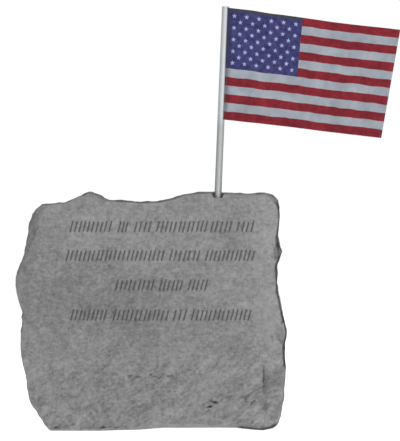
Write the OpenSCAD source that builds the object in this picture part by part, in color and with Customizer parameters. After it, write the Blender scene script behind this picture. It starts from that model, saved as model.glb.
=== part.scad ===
// Garden war memorial: an upright cast-stone slab with rough-broken edges. A thin metal flagpole
// stands in a socket in its top edge and carries a small printed flag. The front faces -Y.

/* [Stone] */
// Width of the stone, edge to edge
stone_w = 485; // [320:1:700]
// Height of the stone
stone_h = 424; // [300:1:600]
// Thickness of the stone, front to back
stone_t = 90; // [70:1:140]
// How far the broken edge wanders in and out between front and back
edge_rough = 5; // [0:0.5:8]
// Swells and hollows of the front face
face_swell = 1.5; // [0:0.1:4]
// Swells and hollows of the plain back
back_swell = 3; // [0:0.1:6]
// Width of the plain bevel round the back
back_bevel = 10; // [4:0.5:20]

/* [Hollow under the front edge] */
// Height that the hollow lifts the front's lower edge
hollow_h = 6.5; // [0:0.5:12]
// Distance that the hollow runs back under the stone
hollow_d = 24; // [0:1:30]
// Left end of the hollow, from the stone's middle
hollow_from = -90; // [-150:1:0]
// Right end of the hollow, from the stone's middle
hollow_to = 195; // [50:1:200]

/* [Bend down the left of the face] */
// How far the face falls back at the left edge
bend_drop = 7; // [0:0.5:12]
// Width of the bend
bend_w = 42; // [20:1:80]
// Height of the bend's middle
bend_mid = 265; // [150:1:300]
// Half of the bend's height
bend_reach = 95; // [50:1:150]

/* [Broken patch at the lower right of the face] */
// Depth of the patch below the face
patch_depth = 6; // [0:0.5:12]
// Width of the slope from the face down into the patch
patch_slope = 9; // [3:0.5:20]
// Width of the patch beside the right edge
patch_side_w = 43; // [20:1:90]
// Height that the patch reaches beside the right edge
patch_side_h = 116; // [60:1:200]
// Length of the ledge that runs left from there
patch_ledge_l = 89; // [0:1:160]
// Height of the ledge at its right end
patch_ledge_h = 72; // [30:1:110]
// How far the ledge drops to its left end
patch_ledge_drop = 20; // [0:1:40]

/* [Flagpole] */
// Outer diameter of the tube
pole_d = 12.7; // [8:0.1:25]
// Wall of the tube
pole_wall = 1.2; // [0.8:0.1:3]
// Length of the tube, the part in the socket included
pole_l = 381; // [250:1:600]
// Lean of the tube to the right, in degrees
pole_lean = 2.3; // [0:0.1:6]
// Distance from the stone's middle to the tube, at the stone's top
pole_x = 119; // [-140:1:140]
// Distance from the stone's front to the tube's middle, at the stone's top
pole_setback = 15; // [14:1:45]

/* [Socket] */
// Depth of the socket along the tube
socket_depth = 51; // [25:1:80]
// Clearance all round between tube and socket
socket_gap = 0.3; // [0.1:0.1:1]
// Extra width on each side of the worn mouth, at the top
mouth_flare = 5.5; // [0:0.5:6]
// Depth of the worn mouth
mouth_depth = 9; // [2:0.5:15]

/* [Flag] */
// Length of the flag beyond the tube's side
flag_fly = 305; // [150:1:460]
// Height of the flag along the tube
flag_hoist = 197; // [100:1:240]
// Thickness of the cloth with its hems
flag_thick = 1; // [0.8:0.1:2]
// Distance from the tube's top end to the flag
flag_below_top = 3; // [0:0.5:20]
// Slope of the flag's top edge below the horizontal, in degrees
flag_droop = 6.7; // [0:0.1:15]
// Clearance between the cloth and the tube it is glued to
flag_gap = 0.3; // [0.1:0.1:0.8]
// Where the glued strip starts, in degrees round the tube from its front
glue_from = 35; // [0:1:60]
// Where the cloth leaves the tube, in degrees round the tube from its front
glue_to = 80; // [65:1:89]
// Radius of the turn from the tube into the flag
turn_r = 4; // [2:0.5:8]
// Height of the waves at the flag's lower fly corner
wave_h = 11; // [0:0.5:20]
// Length of one wave
wave_l = 128; // [60:1:300]
// Share of its length that the flag's lower edge loses to the waves
wave_take = 0.085; // [0:0.005:0.15]

/* [Hidden] */
$fn = 96;

// The stone's broken outline, clockwise as seen from the front. Each point is its place across in
// percent of the half width, its height in percent of the stone's height, and the bevel there in mm.
left_edge = [
    [-78, 2.5, 4], [-82.5, 6.3, 5], [-86.5, 9.8, 6], [-90, 13, 6], [-91, 18, 5], [-92.5, 23.5, 5],
    [-95.7, 31, 4], [-96.2, 36, 4], [-96, 41.5, 4], [-95, 46, 5], [-94.6, 49, 6], [-97.7, 55, 6],
    [-100, 61, 5], [-98.5, 66.6, 5], [-93.5, 73, 6], [-91.8, 78.4, 12], [-90.5, 83.5, 18],
    [-89.7, 87, 19], [-85.6, 92.3, 17]
];
top_edge = [
    [-80, 94.7, 8], [-71, 95, 3], [-63, 95.5, 3], [-53.4, 97.9, 3], [-45.5, 100, 4], [-39, 99, 6],
    [-34, 97.4, 5], [-28, 96.8, 3], [-15, 96.2, 3], [0, 95.9, 3], [11, 96.4, 3], [23.7, 98.6, 3],
    [34.9, 99.6, 4], [46.7, 100, 8], [53, 99.5, 8], [65, 99.2, 6], [76, 99.3, 6], [84, 99.4, 6]
];
right_edge = [
    [89, 98.4, 6], [92.6, 96.3, 5], [94, 93.5, 4], [94.4, 90, 3], [93.8, 86, 3], [92.8, 81.6, 4],
    [94.4, 77.6, 7], [95.8, 74.7, 8], [94, 71.4, 7], [92.5, 69.3, 5], [92.4, 64, 3], [92.8, 58.7, 3],
    [95, 53, 3], [97.4, 47, 4], [100, 41, 7], [98.6, 37, 6], [98, 32, 4], [98.7, 25, 3],
    [98, 18, 3], [96.9, 12, 3], [95, 5, 5], [92.5, 2.2, 6], [89, 0.9, 6]
];
bottom_edge = [for (x = [82 : -12 : -74]) [x, 0, 4]];
outline = [
    for (p = concat(left_edge, top_edge, right_edge, bottom_edge))
    [p.x / 100 * stone_w / 2, p.y / 100 * stone_h, p.z]
];
points_a_side = 2;

// Rings of the front face and of the back, as shares of the way from its middle to its edge.
face_rings = [0.12, 0.24, 0.36, 0.47, 0.57, 0.66, 0.74, 0.81, 0.87, 0.92, 0.96];
back_rings = [0.92, 0.75, 0.5, 0.25];
middle_h = stone_h * 0.48;
face_y = -stone_t / 2;
back_y = stone_t / 2;

function lerp(a, b, t) = a + (b - a) * t;
function ramp(t) = let (c = min(1, max(0, t))) c * c * (3 - 2 * c);

// The edge with points between those of the outline, and their bevels with the hollow's height.
function under(x) =
    x > hollow_from && x < hollow_to ? sin(180 * (x - hollow_from) / (hollow_to - hollow_from)) : 0;
function at_foot(p) = p.y > 0 ? 0 : under(p.x);
function outline_point(i) = outline[i % len(outline)];
edge = [
    for (i = [0 : len(outline) - 1]) for (k = [0 : points_a_side - 1])
    let (p = lerp(outline_point(i), outline_point(i + 1), k / points_a_side))
    [p.x, p.y, p.z + hollow_h * at_foot(p)]
];
edge_count = len(edge);

// A point on the stone's edge, moved in by a distance towards the middle, at a depth.
function moved_in(p, inset, y) =
    let (away = [p.x, p.y - middle_h], share = 1 - inset / norm(away))
    [away.x * share, y, max(0, middle_h + away.y * share)];
// A point on a face, at a share of the way from its middle to a point of its rim.
function towards(rim, share, y) =
    [rim.x * share, y, middle_h + (rim.z - middle_h) * share];

// How far the front face lies behind its highest plane, at a place on it.
patch_side_x = stone_w / 2 - patch_side_w;
patch_end_x = patch_side_x - patch_ledge_l;
function ledge_at(x) =
    patch_ledge_h - patch_ledge_drop * min(1, max(0, (patch_side_x - x) / max(1, patch_ledge_l)));
function in_patch(x, z) =
    max(min(x - patch_side_x, patch_side_h - z), min(x - patch_end_x, ledge_at(x) - z));
function in_bend(x, z) =
    max(0, bend_w - stone_w / 2 - x) / bend_w * ramp(1.5 - 1.5 * abs(z - bend_mid) / bend_reach);
function face_depth(x, z) =
    face_swell * (1 + sin(x * 0.9 + z * 0.5) * cos(z * 1.3 - x * 0.4))
    + bend_drop * in_bend(x, z)
    + patch_depth * ramp(in_patch(x, z) / patch_slope);
function back_depth(x, z) =
    back_swell * (1 + sin(x * 1.1 + 60) * cos(z * 1.2 + 20));

// Depth of the front bevel, and how rough the edge is, which ends just above the underside.
bevel_least = 2;
bevel_steep = 0.9;
function bevel_depth(p) = bevel_least + bevel_steep * p.z + hollow_d * at_foot(p);
rough_from = 12;
function rough_share(p) = min(1, max(0, (p.y - rough_from / 2) / rough_from));
rough_front = rands(0, edge_rough, edge_count, 11);
rough_back = rands(0, edge_rough, edge_count, 12);
rough_far = rands(0, edge_rough, edge_count, 13);

front_rim = [
    for (p = edge) let (q = moved_in(p, p.z, 0)) [q.x, face_y + face_depth(q.x, q.z), q.z]
];
back_rim = [
    for (p = edge) let (q = moved_in(p, back_bevel, 0)) [q.x, back_y - back_depth(q.x, q.z), q.z]
];

// All rings of the stone, from the smallest on the front round the edge to the smallest behind. The
// front bevel ends before the first ring of the side, at its own share of the roughness. Shares of
// the thickness count from the front.
side_shares = [0.42, 0.56, 0.7];
side_y = lerp(face_y, back_y, side_shares[0]);
bevel_clear = 4;
bevel_rough = 0.4;
bevel_middle = [0.35, 0.4];
bevel_edge = [0, 1];
function bevel_end(p) = min(face_y + face_depth(p.x, p.y) + bevel_depth(p), side_y - bevel_clear);
function bevel_ring(shares) = [
    for (i = [0 : edge_count - 1])
    moved_in(edge[i], lerp(bevel_rough * rough_front[i] * rough_share(edge[i]), edge[i].z, shares[0]),
        lerp(front_rim[i].y, bevel_end(edge[i]), shares[1]))
];
function side_ring(rough, y) = [
    for (i = [0 : edge_count - 1]) moved_in(edge[i], rough[i] * rough_share(edge[i]), y)
];
no_rough = [for (p = edge) 0];
rings = concat(
    [for (s = face_rings) [
        for (q = front_rim) let (c = towards(q, s, 0)) [c.x, face_y + face_depth(c.x, c.z), c.z]
    ]],
    [front_rim, bevel_ring(bevel_middle), bevel_ring(bevel_edge)],
    [side_ring(rough_front, side_y)],
    [side_ring(no_rough, lerp(face_y, back_y, side_shares[1]))],
    [side_ring(rough_back, lerp(face_y, back_y, side_shares[2]))],
    [side_ring(rough_far, back_y - back_bevel - back_swell)],
    [back_rim],
    [for (s = back_rings) [
        for (q = back_rim) let (c = towards(q, s, 0)) [c.x, back_y - back_depth(c.x, c.z), c.z]
    ]]
);
ring_points = [for (r = rings) each r];
face_middle = [0, face_y + face_depth(0, middle_h), middle_h];
back_middle = [0, back_y - back_depth(0, middle_h), middle_h];

// Triangles of a closed skin over rings of n points, with one point before the first ring and one
// after the last.
function skin(ring_count, n) = concat(
    [for (i = [0 : n - 1]) [0, 1 + i, 1 + (i + 1) % n]],
    [for (k = [0 : ring_count - 2]) for (i = [0 : n - 1])
        let (a = 1 + k * n + i, b = 1 + k * n + (i + 1) % n)
        each [[a, a + n, b], [b, a + n, b + n]]],
    [for (i = [0 : n - 1])
        let (last = 1 + (ring_count - 1) * n)
        [last + i, 1 + ring_count * n, last + (i + 1) % n]]
);

// The flagpole's axis starts on the socket's floor. Its mouth is in the stone's top. Cuts run a
// little past the surface.
top_line = [for (p = edge) if (p.y > stone_h * 0.8) [p.x, p.y]];
socket_d = pole_d + 2 * socket_gap;
above = 5;
mouth = [pole_x, face_y + pole_setback, lookup(pole_x, top_line)];
module along_pole() {
    translate(mouth) rotate([0, pole_lean, 0]) translate([0, 0, -socket_depth]) children();
}

// The cloth's middle surface in plan, at a distance along it from its glued edge and a share of
// the way down the hoist: place across, place back, and the direction across the cloth. The waves
// are full from a share of the flag's length on, smallest along its top, and lag further down.
wrap_r = pole_d / 2 + flag_gap + flag_thick / 2;
glued_l = (glue_to - glue_from) * PI / 180 * wrap_r;
turned_l = glue_to * PI / 180 * turn_r;
free_x = (wrap_r + turn_r) * sin(glue_to);
free_y = turn_r - (wrap_r + turn_r) * cos(glue_to);
free_l = flag_fly + pole_d / 2 - free_x;
cloth_l = glued_l + turned_l + free_l;
function on_glue(s) = let (a = glue_from + s / glued_l * (glue_to - glue_from))
    [wrap_r * sin(a), -wrap_r * cos(a), sin(a), -cos(a)];
function on_turn(s) = let (a = glue_to * (1 - s / turned_l))
    [free_x - turn_r * sin(a), free_y - turn_r * (1 - cos(a)), sin(a), -cos(a)];
wave_full_at = 0.83;
wave_top_share = 0.25;
wave_lag = 50;
function wave_size(s, v) = wave_h * ramp(s / free_l / wave_full_at) * lerp(wave_top_share, 1, v);
function wave(s, v) = wave_size(s, v) * sin(360 * s / wave_l - wave_lag * v);
function on_wave(s, v) = let (slope = (wave(s + 1, v) - wave(s, v)), size = norm([slope, 1]))
    [free_x + s * (1 - wave_take * v), free_y + wave(s, v), slope / size, -1 / size];
function in_plan(s, v) =
    s < glued_l ? on_glue(s)
    : s < glued_l + turned_l ? on_turn(s - glued_l)
    : on_wave(s - glued_l - turned_l, v);
hang = tan(flag_droop - pole_lean);
function cloth_point(s, v, side) = let (p = in_plan(s, v))
    [p[0] + p[2] * side * flag_thick / 2, p[1] + p[3] * side * flag_thick / 2,
        -flag_below_top - flag_hoist * v - max(0, p[0]) * hang];
turn_stops = [0, 0.33, 0.67, 1, 1.33, 1.67];
wave_stops = 26;
cloth_stops = concat(
    [for (t = turn_stops) t < 1 ? glued_l * t : glued_l + turned_l * (t - 1)],
    [for (k = [0 : wave_stops]) glued_l + turned_l + free_l * k / wave_stops]
);
cloth_rows = 8;

// The socket's worn mouth widens upward and is open to the front, where the tube's foot is seen.
module worn_mouth() {
    top_d = socket_d + 2 * mouth_flare * (mouth_depth + above) / mouth_depth;
    hull() for (y = [0, -pole_setback - above]) translate([0, y, socket_depth - mouth_depth])
        cylinder(d1 = socket_d, d2 = top_d, h = mouth_depth + above);
}

module stone() {
    color([0.53, 0.53, 0.52]) difference() {
        polyhedron(
            points = concat([face_middle], ring_points, [back_middle]),
            faces = skin(len(rings), edge_count));
        along_pole() {
            cylinder(d = socket_d, h = socket_depth + above);
            worn_mouth();
        }
    }
}

module flagpole() {
    color([0.7, 0.72, 0.73]) along_pole() difference() {
        cylinder(d = pole_d, h = pole_l);
        translate([0, 0, -above]) cylinder(d = pole_d - 2 * pole_wall, h = pole_l + 2 * above);
    }
}

// The cloth is a closed sheet: a front and a back grid of points, joined round its border.
module flag() {
    columns = len(cloth_stops);
    grid = columns * (cloth_rows + 1);
    cloth = [
        for (side = [1, -1]) for (v = [0 : cloth_rows]) for (s = cloth_stops)
        cloth_point(s, v / cloth_rows, side)
    ];
    border = concat(
        [for (i = [0 : columns - 1]) i],
        [for (v = [1 : cloth_rows]) v * columns + columns - 1],
        [for (i = [columns - 2 : -1 : 0]) cloth_rows * columns + i],
        [for (v = [cloth_rows - 1 : -1 : 1]) v * columns]
    );
    squares = [for (v = [0 : cloth_rows - 1]) for (i = [0 : columns - 2]) v * columns + i];
    faces = concat(
        [for (a = squares) each [[a, a + 1, a + columns], [a + 1, a + columns + 1, a + columns]]],
        [for (a = squares) each [
            [grid + a, grid + a + columns, grid + a + 1],
            [grid + a + 1, grid + a + columns, grid + a + columns + 1]]],
        [for (k = [0 : len(border) - 1])
            let (a = border[k], b = border[(k + 1) % len(border)])
            each [[a, grid + a, b], [b, grid + a, grid + b]]]
    );
    color([0.55, 0.2, 0.22]) along_pole() translate([0, 0, pole_l])
        polyhedron(points = cloth, faces = faces);
}

stone();
flagpole();
flag();
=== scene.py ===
"""Looks of the garden war memorial: the cast stone, the metal tube and the printed flag.

Shapes are worked out in millimetres, in the frame's own axes. A mesh has them in metres.
"""

from math import cos, hypot, pi, radians, sin, tan

import bpy
import numpy as np
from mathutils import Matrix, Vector
from mathutils.bvhtree import BVHTree
from mathutils.geometry import delaunay_2d_cdt


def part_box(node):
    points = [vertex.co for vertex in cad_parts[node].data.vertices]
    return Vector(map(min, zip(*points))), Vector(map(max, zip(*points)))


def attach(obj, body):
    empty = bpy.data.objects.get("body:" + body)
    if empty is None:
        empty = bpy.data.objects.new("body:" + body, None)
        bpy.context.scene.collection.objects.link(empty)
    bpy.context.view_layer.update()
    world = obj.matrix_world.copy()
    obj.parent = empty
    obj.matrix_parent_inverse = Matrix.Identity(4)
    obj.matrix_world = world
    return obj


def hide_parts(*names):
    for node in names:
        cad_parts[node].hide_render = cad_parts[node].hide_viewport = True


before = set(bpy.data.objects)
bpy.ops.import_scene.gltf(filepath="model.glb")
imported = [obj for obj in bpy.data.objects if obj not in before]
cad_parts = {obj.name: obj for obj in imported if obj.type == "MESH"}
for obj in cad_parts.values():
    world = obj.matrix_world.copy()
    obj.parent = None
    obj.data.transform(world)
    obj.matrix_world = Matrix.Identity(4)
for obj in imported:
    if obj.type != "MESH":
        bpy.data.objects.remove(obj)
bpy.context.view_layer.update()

MM = 0.001
SEED = 5


def box_mm(node):
    low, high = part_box(node)
    return np.array(low) / MM, np.array(high) / MM


stone_low, stone_high = box_mm("stone")
pole_low, pole_high = box_mm("flagpole")

STONE_W = stone_high[0] - stone_low[0]
STONE_H = stone_high[2]
FACE_Y = stone_low[1]
BACK_Y = stone_high[1]
MIDDLE_H = 0.48 * STONE_H

POLE_D = 12.7
POLE_WALL = 1.2
POLE_L = 381.0
POLE_LEAN = radians(2.3)
SOCKET_DEPTH = 51.0
SOCKET_GAP = 0.3
MOUTH_DEPTH = 9.0
MOUTH_FLARE = 5.5

pole_axis = np.array([sin(POLE_LEAN), 0, cos(POLE_LEAN)])
pole_foot = np.array([
    pole_low[0] + POLE_D / 2 * pole_axis[2],
    (pole_low[1] + pole_high[1]) / 2,
    pole_low[2] + POLE_D / 2 * pole_axis[0],
])
back_axis = np.array([0, 1, 0])
pole_side = np.cross(back_axis, pole_axis)


def off_pole(angle):
    """A direction square to the tube, at an angle round it."""
    return pole_side * cos(angle) + back_axis * sin(angle)


# ---- numbers and noise


def ramp(t):
    t = np.clip(t, 0.0, 1.0)
    return t * t * (3 - 2 * t)


def lerp(a, b, t):
    return a + (b - a) * t


def sind(a):
    return np.sin(np.radians(a))


def cosd(a):
    return np.cos(np.radians(a))


def scramble(cell, seed):
    """A repeatable number from 0 to 1 for each whole-number cell."""
    c = cell.astype(np.int64).astype(np.uint64)
    n = c[..., 0] * 374761393 + c[..., 1] * 668265263 + c[..., 2] * 2246822519
    n = n + seed * 3266489917
    n = (n ^ (n >> 15)) * 2654435761 & 0xFFFFFFFF
    n = (n ^ (n >> 13)) * 1274126177 & 0xFFFFFFFF
    return ((n ^ (n >> 16)) & 0xFFFFFF).astype(float) / 0xFFFFFF


def noise(p, seed):
    """Smooth noise from -1 to 1 at points p, with features about 1 apart."""
    cell = np.floor(p)
    f = p - cell
    w = f * f * f * (f * (f * 6 - 15) + 10)
    weights = 1 - w, w
    total = np.zeros(len(p))
    for dx, dy, dz in np.ndindex(2, 2, 2):
        share = weights[dx][:, 0] * weights[dy][:, 1] * weights[dz][:, 2]
        total += share * scramble(cell + np.array([dx, dy, dz]), seed)
    return 2 * total - 1


def layered(p, seed, layers=4):
    """Noise of several sizes, each half the last."""
    total = np.zeros(len(p))
    size = 1.0
    for k in range(layers):
        turned = p @ TURNS[k % len(TURNS)]
        total += size * noise(turned / size, seed + 17 * k)
        size *= 0.5
    return total / (2 - 2 * size)


def turn_matrix(a, b):
    ca, sa, cb, sb = cos(a), sin(a), cos(b), sin(b)
    return np.array([[ca, sa, 0], [-sa, ca, 0], [0, 0, 1]]) @ np.array(
        [[1, 0, 0], [0, cb, sb], [0, -sb, cb]]
    )


TURNS = [turn_matrix(0.6 * k, 0.9 * k) for k in range(1, 6)]


def scoops(p, seed):
    """Shallow scoops with ridges between them, as broken stone has: 0 on a ridge, 1 in a scoop."""
    cell = np.floor(p)
    best = np.full(len(p), -9.0)
    for step in np.ndindex(3, 3, 3):
        c = cell + np.array(step) - 1
        middle = c + np.stack([scramble(c, seed + k) for k in range(3)], -1)
        gap = ((p - middle) ** 2).sum(-1)
        best = np.maximum(best, 0.5 + 0.5 * scramble(c, seed + 3) - gap)
    return np.clip(best, 0, 1)


def flat_points(x, z):
    return np.stack([x, np.zeros_like(x), z], -1)


# ---- the stone's face

FACE_SWELL = 1.5
BEND_DROP, BEND_W, BEND_MID, BEND_REACH = 7.0, 42.0, 265.0, 95.0
PATCH_DEPTH = 6.0
PATCH_SIDE_W, PATCH_SIDE_H = 43.0, 116.0
LEDGE_L, LEDGE_H, LEDGE_DROP = 89.0, 72.0, 20.0
PATCH_SLOPE = 9.0
PATCH_SHARP = 6.5
TOOL_ANGLE = radians(34)

patch_side_x = STONE_W / 2 - PATCH_SIDE_W
patch_end_x = patch_side_x - LEDGE_L

# The jagged ledge over the patch, from its left end to the step: places across and their heights.
LEDGE_X = [112, 122, 134, 148, 165, 171, 179, 187, 201]
LEDGE_Z = [52, 55, 62, 63.5, 60, 64, 69, 75, 80]

# Flat chips along the edge: the side they lie on, places along that side, where the chip's ridge
# runs at each of them, how far it falls back in mm and how much painted shade it gets.
CHIPS = [
    ("left", [312, 326, 347, 360, 388], [-219, -214, -205, -201, -198], 7.0, 0.2),
    ("right", [298, 306, 322, 336, 346], [234, 219, 216, 221, 234], 9.0, 0.3),
    ("right", [148, 158, 175, 190, 202], [241, 227, 221, 225, 240], 5.0, 0.16),
    ("top", [136, 143, 165, 190, 200], [425, 417, 415, 416, 425], 5.0, 0.1),
]
CHIP_TURN = 5.0


def patch_inside(x, z, ledge):
    """How far a place lies inside the broken patch at the lower right, in mm."""
    return np.maximum(
        np.minimum(x - patch_side_x, PATCH_SIDE_H - z), np.minimum(x - patch_end_x, ledge - z)
    )


def in_patch(x, z):
    return patch_inside(x, z, np.interp(x, LEDGE_X, LEDGE_Z))


def patch_share(x, z):
    """How much of the patch's depth a place has: 0 on the face, 1 well inside the broken patch."""
    p = flat_points(x, z)
    inside = in_patch(x, z) + 1.6 * noise(p / 6, 62) * ramp((patch_side_x + 4 - x) / 10)
    top = lerp(24, 60, ramp((x - patch_side_x) / 35))
    fade = ramp((x - patch_end_x + 10) / 75) * ramp((PATCH_SIDE_H - z) / top)
    return fade * ramp(inside / PATCH_SHARP)


def solid_patch_share(x, z):
    """The same as the solid has it, with its plain slope and straight ledge."""
    ledge = LEDGE_H - LEDGE_DROP * np.clip((patch_side_x - x) / LEDGE_L, 0, 1)
    return ramp(patch_inside(x, z, ledge) / PATCH_SLOPE)


def chips(x, z):
    """How far each place falls back on a chip, and how much painted shade the chip gets there."""
    fall, dark = np.zeros(len(x)), np.zeros(len(x))
    for side, places, ridge, depth, shade in CHIPS:
        along, out = (x, z) if side == "top" else (z, x)
        at = np.interp(along, places, ridge) + 0.8 * noise(flat_points(x, z) / 8, 64)
        beyond = at - out if side == "left" else out - at
        beyond = np.where((along > places[0]) & (along < places[-1]), np.clip(beyond, 0, None), 0)
        ends = ramp((along - places[0]) / 5) * ramp((places[-1] - along) / 5)
        share = ends * (1 - np.exp(-beyond / CHIP_TURN))
        fall = np.maximum(fall, depth * share)
        shade = shade * ends * ramp(beyond / 2) * (0.6 + 0.4 * np.exp(-beyond / 6))
        dark = np.maximum(dark, shade)
    return fall, dark


def face_height(x, z, patch):
    """The front surface, with a share of the patch's depth at each place."""
    swell = FACE_SWELL * (1 + sind(x * 0.9 + z * 0.5) * cosd(z * 1.3 - x * 0.4))
    return FACE_Y + swell + BEND_DROP * bend_share(x, z) + PATCH_DEPTH * patch


def bend_share(x, z):
    """The slow bend of the face toward its left edge: 0 on the face, 1 at the edge."""
    bend = np.clip((BEND_W - STONE_W / 2 - x) / BEND_W, 0, None)
    return bend * ramp(1.5 - 1.5 * np.abs(z - BEND_MID) / BEND_REACH)


def lower_share(x, z):
    """1 on the rough lower part of the face, 0 on its smoother upper part."""
    return ramp((178 - z + 26 * noise(flat_points(x, z) / 70, 33)) / 75)


def tooling(x, z, seed, length, width):
    """Short slanting strokes, from lower left to upper right."""
    c, s = cos(TOOL_ANGLE), sin(TOOL_ANGLE)
    along, across = x * c + z * s, z * c - x * s
    wander = 0.35 * noise(flat_points(x, z) / (2 * length), seed + 5)
    return noise(np.stack([along / length, wander * 2, across / width], -1), seed)


def scar(x, z):
    """A short jagged scar in the lower middle of the face, broken into small pieces."""
    left, right, height = -52.0, 40.0, 97.0
    p = flat_points(x, z)
    level = flat_points(x, 0 * z)
    line = height + 3.0 * noise(level / 15, 71) + 3.4 * noise(level / 4.5, 74)
    off = np.abs(z - line) / (1.3 + 0.6 * noise(p / 5, 72))
    ends = ramp((x - left) / 12) * ramp((right - x) / 12)
    return ends * np.exp(-off * off) * ramp(0.45 + 1.3 * noise(p / 5, 73))


def pits(x, z, seed, spacing, share):
    """Small round holes that bubbles left, on a share of the cells of a grid."""
    p = flat_points(x, z) / spacing
    cell = np.floor(p)
    cell[:, 1] = 0
    middle_x = cell[:, 0] + 0.3 + 0.4 * scramble(cell, seed)
    middle_z = cell[:, 2] + 0.3 + 0.4 * scramble(cell, seed + 1)
    reach = 0.12 + 0.16 * scramble(cell, seed + 2)
    gap = np.hypot(p[:, 0] - middle_x, p[:, 2] - middle_z) / reach
    return ramp(1.4 - gap) * (scramble(cell, seed + 3) < share)


# The deeper holes along the ledge and the lower edge: middle, half length, half width, slant and
# how deep and dark they are.
DARK_PITS = [
    (patch_end_x + 1.5, 51.3, 4.4, 1.5, -14, 1.0),
    (patch_end_x - 5.5, 43.2, 4.0, 1.6, 12, 1.0),
    (patch_end_x - 9.5, 36.0, 3.6, 1.0, 20, 0.5),
    (173.0, 60.0, 7.0, 1.1, 48, 0.5),
    (180.5, 50.5, 5.5, 1.0, 44, 0.42),
    (158.5, 41.0, 4.0, 1.0, 78, 0.38),
    (163.0, 33.0, 3.4, 1.0, 50, 0.35),
    (-86.0, 6.0, 4.0, 1.3, 4, 0.8),
    (-61.0, 6.0, 3.0, 1.2, 8, 0.8),
    (-168.0, 6.0, 3.0, 1.3, 0, 0.8),
]


def dark_pits(x, z):
    """1 in one of the deeper holes, 0 outside them."""
    found = np.zeros(len(x))
    ragged = 0.45 * noise(flat_points(x, z) / 2.6, 75)
    for px, pz, length, width, slant, deep in DARK_PITS:
        along = (x - px) * cosd(slant) + (z - pz) * sind(slant)
        across = (z - pz) * cosd(slant) - (x - px) * sind(slant)
        shape = ramp(1.6 - np.hypot(along / length, across / width) - ragged)
        found = np.maximum(found, deep * shape)
    return found


def face_relief(p):
    """Fine relief of the front, in mm into the stone."""
    x, z = p[:, 0], p[:, 2]
    p = flat_points(x, z)
    low = lower_share(x, z)
    patch = patch_share(x, z)
    upper = 0.28 * layered(p / 16, 21, 3) + 0.16 * layered(p / 5, 22, 2)
    tool = np.abs(tooling(x, z, seed=23, length=12, width=4.0))
    tool = tool + 0.45 * tooling(x, z, seed=24, length=22, width=7.5)
    lumps = 0.6 * tooling(x, z, seed=25, length=15, width=6.5)
    lumps = lumps + 0.95 * np.abs(tooling(x, z, seed=26, length=9, width=3.8))
    relief = 0.5 + upper + low * (0.4 + tool) + patch * (0.7 + lumps)
    relief += 0.5 * pits(x, z, seed=27, spacing=7.5, share=0.16) * (0.5 + low)
    return relief + 1.5 * scar(x, z) + 2.6 * dark_pits(x, z)


def side_relief(p):
    """Relief of the broken edge all round, in mm into the stone or, where negative, out of it."""
    big = scoops(p / np.array([34, 30, 27]), 41)
    small = scoops(p / np.array([13, 11, 12]), 45)
    fine = layered(p / 5, 49, 3)
    behind_front = lerp(0.12, 1.0, ramp((p[:, 1] - FACE_Y - 6) / 34))
    return behind_front * (2.5 * big + 1.5 * small - 2.9) + lerp(0.15, 0.35, behind_front) * fine


def back_relief(p):
    """Relief of the plain back, as it left the mould, in mm into the stone."""
    x, z = p[:, 0], p[:, 2]
    holes = pits(x, z, seed=53, spacing=17, share=0.3)
    return 0.5 * (1 + layered(p / 38, 51, 3)) + 0.9 * holes


# ---- the engraved rows

STROKE_W = 2.6
STROKE_H = 17.0
STROKE_PITCH = 7.8
STROKE_LEAN = 0.26
STROKE_SLOPE = 0.45
STROKE_DEPTH = 1.5
STROKE_STEP = 1.5
STROKE_CLEAR = 0.8
EDGE_CUT, FLOOR_CUT = 0.25, 1.0

# The four rows: height of the base line, then where each group of strokes starts and ends.
ROWS = [
    (354.8, [(-143, -70), (-58, -41), (-29, 0), (10, 100), (106, 143), (152, 182)]),
    (303.7, [(-150, 23), (33, 86.5), (97, 183.5)]),
    (251.0, [(-63, 5), (15, 56), (66, 100)]),
    (197.8, [(-142, -79), (-67, 31), (40, 62.5), (72, 177)]),
]


def row_strokes():
    """The centre lines of all strokes. They all slant one way and never meet, so no letters."""
    draws = np.random.default_rng(SEED)
    lines = []
    for base, groups in ROWS:
        for start, end in groups:
            count = max(1, round((end - start - STROKE_H * STROKE_LEAN) / STROKE_PITCH)) + 1
            places = np.linspace(start, end - STROKE_H * STROKE_LEAN, count)
            places[1:-1] += draws.uniform(-0.5, 0.5, len(places[1:-1]))
            for x in places:
                low = draws.uniform(-0.8, 0.8)
                high = STROKE_H + draws.uniform(-1.2, 1.2)
                z = np.linspace(low, high, int((high - low) / STROKE_STEP) + 1)
                lines.append(np.stack([x + STROKE_LEAN * z, base + z], -1))
    return lines


def ribbon(line, half):
    """The closed outline of a stroke, half its width from its centre line all round."""
    forward = np.gradient(line, axis=0)
    forward /= np.linalg.norm(forward, axis=1)[:, None]
    side = np.stack([-forward[:, 1], forward[:, 0]], -1)
    reach = sin(radians(45)) * half
    last, first = line[-1] + forward[-1] * reach, line[0] - forward[0] * reach
    wide = 0.7 * reach
    return np.concatenate([
        line + side * half,
        [last + side[-1] * wide, last - side[-1] * wide],
        (line - side * half)[::-1],
        [first - side[0] * wide, first + side[0] * wide],
    ])


# ---- the stone's mesh

RIM_STEP = 2.3
RIM_INSET = 14.0
FACE_RINGS, SIDE_RINGS, BACK_RINGS = 7, 29, 6
CHIPPED_RINGS = 15
CORE_INSET = 30.0
SEARCH = 400.0
FRONT_STEP = 2.15
BACK_STEP = 6.5
ROW_SHARE = 0.866
GRID_UNEVEN = 0.14
BEVEL_REACH = 30.0

# How much less relief the underside has, how far the face's lower edge is lifted beyond the
# solid's hollow, and low places along the top edge, as middle, half width and depth.
UNDER_FLAT = 0.92
LIFT = 4.6
DIPS = [(-76, 22, 2.2), (-14, 48, 0.9)]


def surface_tree():
    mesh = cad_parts["stone"].data
    points = [tuple(np.array(v.co) / MM) for v in mesh.vertices]
    return BVHTree.FromPolygons(points, [tuple(p.vertices) for p in mesh.polygons])


def around(angle):
    return np.array([cos(angle), 0, sin(angle)])


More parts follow.
